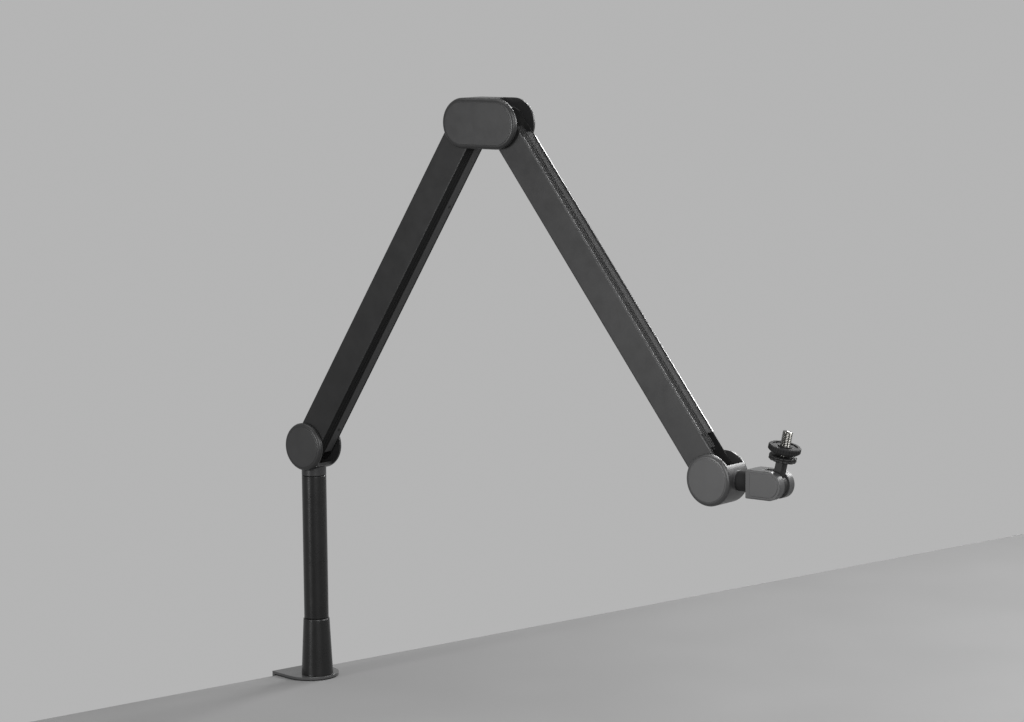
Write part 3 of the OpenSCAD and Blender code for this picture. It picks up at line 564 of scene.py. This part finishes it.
def fork_side():
    """A rectangle with a round far end, from the fork's near end."""
    end = FORK_LEN - FORK_H / 2
    r = FORK_H / 2 - FORK_FACE_INSET
    points = [(FORK_FACE_X0, -r), (end, -r)]
    for degrees in range(10, 171, 10):
        a = math.radians(degrees)
        points.append((end + r * math.sin(a), -r * math.cos(a)))
    return points + [(end, r), (FORK_FACE_X0, r)]


def raised_face(name, outline, centre, side, depth, body, finish):
    """A thin plate with a crisp chamfer on a flat side face; side is -1 in front and 1 behind."""
    y0 = side * (depth / 2 - FACE_SUNK)
    bm = bmesh.new()
    rise = (0, side * (FACE_RISE + FACE_SUNK), 0)
    prism(bm, [(x, y0, z) for x, z in outline], rise, FACE_EDGE, far_end_only=True)
    place(bm_obj(name, bm), Matrix.Translation(mm(centre)), body, finish)


def raised_faces():
    round_face = stadium(FACE_R, 0.0)
    long_face = stadium(FACE_R, ELBOW_GAP / 2)
    mid_elbow = (elbow + elbow2) / 2
    for side, word in ((-1, "front"), (1, "back")):
        for body, outline, centre, depth, finish in (
                ("shoulder", round_face, shoulder, JOINT_DEPTH, "cap_black"),
                ("elbow", long_face, mid_elbow, JOINT_DEPTH, "cap_black"),
                ("head", round_face, head, JOINT_DEPTH, "head_lit_black"),
                ("fork", fork_side(), fork_at, FORK_DEPTH, "head_lit_black")):
            raised_face(f"{body}_face_{word}", outline, centre, side, depth, body, finish)


# Slim strips along the two edges of the upper arm's cover side, from a start to an end along the arm; their
# lighter black is painted highlight on the edges
EDGE_START = 27.0
EDGE_END = 368.0
EDGE_ROUND = 0.9
EDGE_INSET = 0.68
STRIP_EDGE = 0.1

# The back strip's outline, from the tube's own corner outward and upward; its top slopes outward
BACK_EDGE = [(-1.75, -0.6), (-1.75, 0.36), (-1.5, 0.44), (-0.1, 0.1), (0.12, -0.12), (0.12, -0.6)]


def edge_strip(name, outline, finish):
    bm = bmesh.new()
    prism(bm, [(EDGE_START, y, z) for y, z in outline], (EDGE_END - EDGE_START, 0, 0), STRIP_EDGE)
    place(bm_obj(name, bm), UPPER, "upper_arm", finish)


def edge_strips():
    half_depth, half_height = UPPER_DEPTH / 2, ARM_H / 2
    bead = []
    for degrees in range(0, 360, 15):
        a = math.radians(degrees)
        y = -half_depth + EDGE_INSET + EDGE_ROUND * math.cos(a)
        bead.append((y, half_height - EDGE_INSET + EDGE_ROUND * math.sin(a)))
    edge_strip("upper_edge_front", bead, "line_highlight_black")
    edge_strip("upper_edge_back", [(half_depth + y, half_height + z) for y, z in BACK_EDGE], "edge_highlight_black")


# The balance springs: round coils inside the arms, beside the link bars
SPRING_X0 = 60.8
SPRING_X1 = 183.2
SPRING_Y = -1.4
SPRING_Z = {"lower": -0.6, "upper": 1.4}
SPRING_R = 2.2
SPRING_WIRE = 0.5
SPRING_TURNS = 40
SPRING_STEPS = 16
WIRE_SIDES = 8


def coil(name):
    """A round wire wound about the X axis, closed at both ends."""
    n = SPRING_TURNS * SPRING_STEPS
    path = []
    for i in range(n + 1):
        a = 2 * math.pi * i / SPRING_STEPS
        x = SPRING_X0 + (SPRING_X1 - SPRING_X0) * i / n
        path.append(Vector((x, SPRING_R * math.cos(a), SPRING_R * math.sin(a))))
    bm = bmesh.new()
    rings = []
    for i, p in enumerate(path):
        forward = (path[min(i + 1, n)] - path[max(i - 1, 0)]).normalized()
        across = forward.cross(Vector((0, p.y, p.z)).normalized()).normalized()
        outward = across.cross(forward).normalized()
        ring = []
        for j in range(WIRE_SIDES):
            u = 2 * math.pi * j / WIRE_SIDES
            out_part = outward * SPRING_WIRE * math.cos(u)
            side_part = across * SPRING_WIRE * math.sin(u)
            ring.append(bm.verts.new(mm(p + out_part + side_part)))
        rings.append(ring)
    for near, far in zip(rings, rings[1:]):
        for j in range(WIRE_SIDES):
            k = (j + 1) % WIRE_SIDES
            bm.faces.new((near[j], near[k], far[k], far[j])).smooth = True
    bm.faces.new(rings[0][::-1])
    bm.faces.new(rings[-1])
    bmesh.ops.recalc_face_normals(bm, faces=bm.faces)
    return bm_obj(name, bm)


def balance_springs():
    for word, arm in (("lower", LOWER), ("upper", UPPER)):
        obj = coil(f"{word}_balance_coil")
        beside_bar = Matrix.Translation(mm((0, SPRING_Y, SPRING_Z[word])))
        place(obj, arm @ beside_bar, f"{word}_arm", "spring_steel")
        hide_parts(f"{word}_spring")


# Two small socket screws hold the lower arm's cover strip: places along the arm and across it
COVER_SCREWS_X = (31.3, 311.2)
COVER_SCREWS_Y = 6.2
COVER_DROP = 0.2
COVER_TOP = ARM_H / 2 - COVER_DROP
COVER_SCREW_STEPS = 36

# The head of a cover screw with a round socket in it, as (radius, height) points
COVER_SCREW = [
    (0, -0.5), (1.6, -0.5), (1.6, 0.25), (1.35, 0.45), (0.85, 0.45), (0.75, 0.35), (0.7, -0.35), (0, -0.35),
]


def cover_screws():
    for i, along in enumerate(COVER_SCREWS_X):
        bm = bmesh.new()
        lathe(bm, COVER_SCREW, COVER_SCREW_STEPS)
        facing_down = Matrix.Rotation(math.pi, 4, "X")
        under = Matrix.Translation(mm((along, COVER_SCREWS_Y, -COVER_TOP))) @ facing_down
        place(bm_obj(f"cover_screw_{i + 1}", bm), LOWER @ under, "lower_arm", "screw_black")


stud()
clamp_screw()
stem()
raised_faces()
edge_strips()
balance_springs()
cover_screws()

# The stage: a pale desk whose back edge the clamp grips
DESK_GAP = 0.2
DESK_FRONT = 900.0
DESK_SIDE = 1200.0
DESK_EDGE_R = 2.5


def desk():
    back = -(PLATE_BACK - SPINE_T) - DESK_GAP
    corners = [(back, -DESK_SIDE), (DESK_FRONT, -DESK_SIDE), (DESK_FRONT, DESK_SIDE), (back, DESK_SIDE)]
    bm = bmesh.new()
    top = [bm.verts.new(mm((x, y, 0.0))) for x, y in corners]
    bottom = [bm.verts.new(mm((x, y, -DESK_T))) for x, y in corners]
    bm.faces.new(top)
    bm.faces.new(bottom[::-1])
    for i in range(4):
        j = (i + 1) % 4
        bm.faces.new((top[j], top[i], bottom[i], bottom[j]))
    radius = DESK_EDGE_R * MM
    bmesh.ops.bevel(bm, geom=bm.edges[:], offset=radius, segments=3, profile=0.5, affect="EDGES")
    obj = bm_obj("desk", bm)
    obj.matrix_world = CLAMP
    obj.data.materials.append(matte_white("desk_white"))


# The world lights the object at one strength, and is seen at another, also in gloss and through glass
WORLD_LIGHT = 0.27
WORLD_SEEN = 0.46


def studio_world():
    world = bpy.data.worlds.new("studio")
    scene.world = world
    world.use_nodes = True
    nodes, links = world.node_tree.nodes, world.node_tree.links
    nodes.clear()
    out = nodes.new("ShaderNodeOutputWorld")
    mix = nodes.new("ShaderNodeMixShader")
    rays = nodes.new("ShaderNodeLightPath")
    light = nodes.new("ShaderNodeBackground")
    seen = nodes.new("ShaderNodeBackground")
    light.inputs["Color"].default_value = (1, 1, 1, 1)
    light.inputs["Strength"].default_value = WORLD_LIGHT
    seen.inputs["Color"].default_value = (WORLD_SEEN, WORLD_SEEN, WORLD_SEEN, 1)
    seen.inputs["Strength"].default_value = 1.0
    is_seen = rays.outputs["Is Camera Ray"]
    for kind in ("Is Glossy Ray", "Is Transmission Ray"):
        either = nodes.new("ShaderNodeMath")
        either.operation = "MAXIMUM"
        links.new(is_seen, either.inputs[0])
        links.new(rays.outputs[kind], either.inputs[1])
        is_seen = either.outputs[0]
    links.new(is_seen, mix.inputs[0])
    links.new(light.outputs[0], mix.inputs[1])
    links.new(seen.outputs[0], mix.inputs[2])
    links.new(mix.outputs[0], out.inputs[0])


# Soft lamps: where each one is and what it is turned to, in metres, its two sides, and its power in watts
LAMPS = {
    "front_left": ((-0.32, -1.95, 0.5), (0.1, 0, 0.3), (0.2, 0.9), 20.0),
    "front_right": ((1.6, -0.95, 0.95), (0.5, 0, 0.35), (1.0, 1.5), 26.0),
    "back_window": ((0.05, 1.5, 1.35), (0.45, 0, 0.3), (0.45, 0.6), 18.0),
    "rim_window": ((0.53, 1.5, 0.79), (0.50, 0, 0.3), (0.25, 0.25), 7.0),
    "head_window": ((0.74, 0.6, 0.70), (0.52, 0, 0.26), (0.24, 0.24), 2.6),
    "back_right": ((1.7, 0.7, 0.9), (0.4, 0, 0.3), (0.5, 0.7), 12.0),
    "top_soft": ((-0.1, -0.3, 2.2), (0.25, 0, 0.4), (1.6, 1.6), 14.0),
}


def lamp(name, place_at, look_at, sides, power):
    data = bpy.data.lights.new(name, "AREA")
    data.shape = "RECTANGLE"
    data.size, data.size_y = sides
    data.energy = power
    obj = link_obj(name, data)
    obj.location = place_at
    obj.visible_camera = False
    obj.rotation_euler = (Vector(look_at) - Vector(place_at)).to_track_quat("-Z", "Y").to_euler()


# The camera, found from the photograph: its place in millimetres, its turns in degrees, and its lens
CAM_AT = (2135.2, -2352.9, 741.0)
YAW = 38.51
PITCH = 7.384
ROLL = -0.52
FOCAL_PX = 3106.7
PHOTO_WIDTH_PX = 1024.0
SENSOR_MM = 36.0


def photo_camera():
    yaw, pitch, roll = (math.radians(v) for v in (YAW, PITCH, ROLL))
    level = Vector((-math.sin(yaw), math.cos(yaw), 0))
    right = Vector((math.cos(yaw), math.sin(yaw), 0))
    view = level * math.cos(pitch) - Vector((0, 0, 1)) * math.sin(pitch)
    up = level * math.sin(pitch) + Vector((0, 0, 1)) * math.cos(pitch)
    rolled_right = right * math.cos(roll) + up * math.sin(roll)
    rolled_up = up * math.cos(roll) - right * math.sin(roll)
    data = bpy.data.cameras.new("camera")
    data.sensor_width = SENSOR_MM
    data.lens = FOCAL_PX * SENSOR_MM / PHOTO_WIDTH_PX
    data.clip_start = 0.05
    data.clip_end = 50.0
    camera = link_obj("camera", data)
    turn = Matrix((rolled_right, rolled_up, -view)).transposed().to_4x4()
    camera.matrix_world = Matrix.Translation(mm(CAM_AT)) @ turn
    scene.camera = camera


desk()
studio_world()
for name, values in LAMPS.items():
    lamp(name, *values)
photo_camera()
